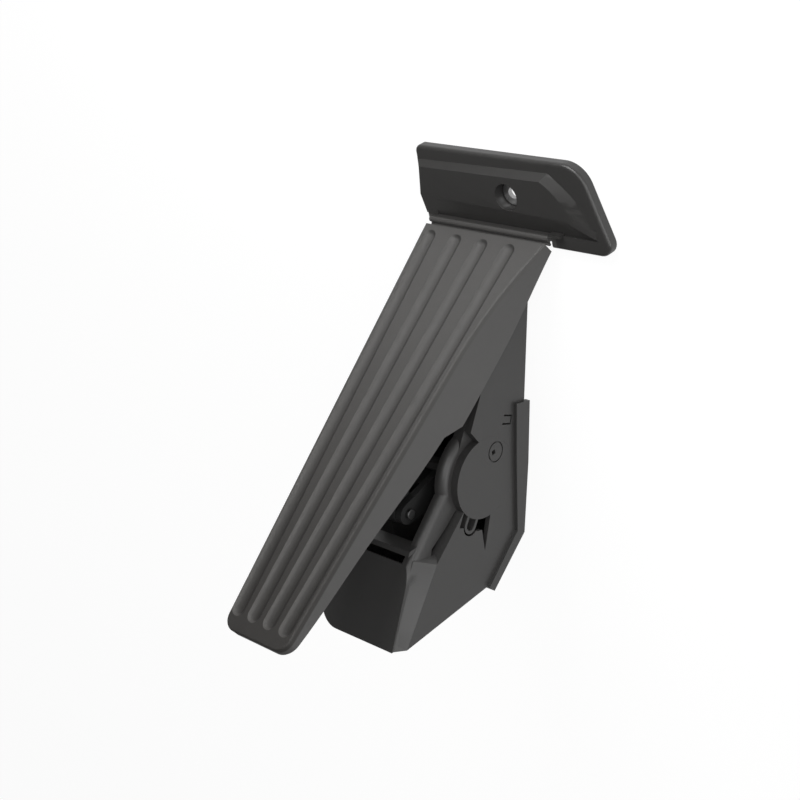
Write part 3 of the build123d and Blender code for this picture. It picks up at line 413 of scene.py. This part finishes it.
def mark_sharp_edges(mesh, spare_cap_seat):
    """Merge a mesh's loose triangles and weight the edges that are to be eased."""
    form = bmesh.new()
    form.from_mesh(mesh)
    bmesh.ops.remove_doubles(form, verts=form.verts, dist=MERGE_WITHIN)
    bmesh.ops.dissolve_limit(form, angle_limit=FLAT_WITHIN, verts=form.verts, edges=form.edges)
    weights = form.edges.layers.float.new("bevel_weight_edge")
    for line in form.edges:
        sharp = len(line.link_faces) == 2 and line.calc_face_angle(0.0) > EASE_ABOVE
        spared = spare_cap_seat and all(at_cap_seat(v.co) for v in line.verts)
        line[weights] = 1.0 if sharp and not spared else 0.0
    form.to_mesh(mesh)
    form.free()


def eased(node, edge):
    """Stand a copy for a node, with its edges eased as a mould's edges are."""
    mesh = frame["nodes"][node].data.copy()
    mesh.name = node + "_eased"
    copy = bpy.data.objects.new(node + "_eased", mesh)
    SCENE.collection.objects.link(copy)
    mark_sharp_edges(mesh, spare_cap_seat=node == "housing")
    bpy.ops.object.select_all(action="DESELECT")
    copy.select_set(True)
    bpy.context.view_layer.objects.active = copy
    bevel = copy.modifiers.new("edge", "BEVEL")
    bevel.width = edge
    bevel.segments = EDGE_SEGMENTS
    bevel.limit_method = "WEIGHT"
    bevel.use_clamp_overlap = True
    bpy.ops.object.modifier_apply(modifier=bevel.name)
    bpy.ops.object.shade_smooth_by_angle(angle=SMOOTH_BELOW)
    flat = copy.modifiers.new("flat", "WEIGHTED_NORMAL")
    flat.keep_sharp = True
    bpy.ops.object.modifier_apply(modifier=flat.name)
    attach(copy, BODY_OF[node])
    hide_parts(node)


for node in frame["nodes"]:
    dress(node)
for node, edge_mm in EASED_MM.items():
    eased(node, edge_mm / 1000)


# Floor, light and camera

def stage_floor():
    """Pale floor that the camera and glossy surfaces see as near white, with the pedal's shadow."""
    bpy.ops.mesh.primitive_plane_add(size=FLOOR_SIZE, location=(0, 0, FLOOR_Z))
    floor = bpy.context.object
    floor.name = "studio_floor"
    finish = Finish("pale_floor")
    finish.set("Base Color", grey(FLOOR_TONE, warm=0.0))
    finish.set("Roughness", FLOOR_ROUGHNESS)
    glow = finish.node("ShaderNodeEmission", values={"Color": (1, 1, 1, 1), "Strength": FLOOR_GLOW})
    camera_ray = finish.node("ShaderNodeLightPath", out="Is Camera Ray")
    glossy_ray = finish.node("ShaderNodeLightPath", out="Is Glossy Ray")
    seen = (camera_ray + glossy_ray * GLOSS_SHARE) * FLOOR_GLOW_SHARE
    lit = Socket(finish, finish.shader.outputs[0])
    mix = finish.node("ShaderNodeMixShader", values={0: seen, 1: lit, 2: glow})
    finish.feed(finish.output.inputs["Surface"], mix)
    floor.data.materials.append(finish.material)


def soft_light(name, place, aim, size, power):
    """A rectangular lamp at a place, turned towards what it aims at."""
    lamp = bpy.data.lights.new(name, "AREA")
    lamp.shape = "RECTANGLE"
    lamp.size, lamp.size_y = size
    lamp.energy = power
    holder = bpy.data.objects.new(name, lamp)
    SCENE.collection.objects.link(holder)
    holder.location = place
    holder.rotation_euler = (Vector(aim) - Vector(place)).to_track_quat("-Z", "Y").to_euler()


def studio_world():
    """Even, faint light from all round."""
    world = bpy.data.worlds.new("studio")
    SCENE.world = world
    world.use_nodes = True
    backdrop = world.node_tree.nodes["Background"]
    backdrop.inputs["Color"].default_value = (1, 1, 1, 1)
    backdrop.inputs["Strength"].default_value = WORLD_STRENGTH


def photo_camera():
    """A camera where the photograph's was, with the same turn and angle of view."""
    view = bpy.data.cameras.new("view")
    view.lens = LENS_MM
    view.sensor_width = SENSOR_MM
    camera = bpy.data.objects.new("view", view)
    SCENE.collection.objects.link(camera)
    turn = Matrix((CAMERA_RIGHT, CAMERA_UP, CAMERA_BACK)).transposed().to_4x4()
    camera.matrix_world = Matrix.Translation(CAMERA_AT) @ turn
    SCENE.camera = camera


stage_floor()
for name, lamp_values in LAMPS.items():
    soft_light(name, *lamp_values)
studio_world()
photo_camera()
SCENE.view_settings.view_transform = "Standard"
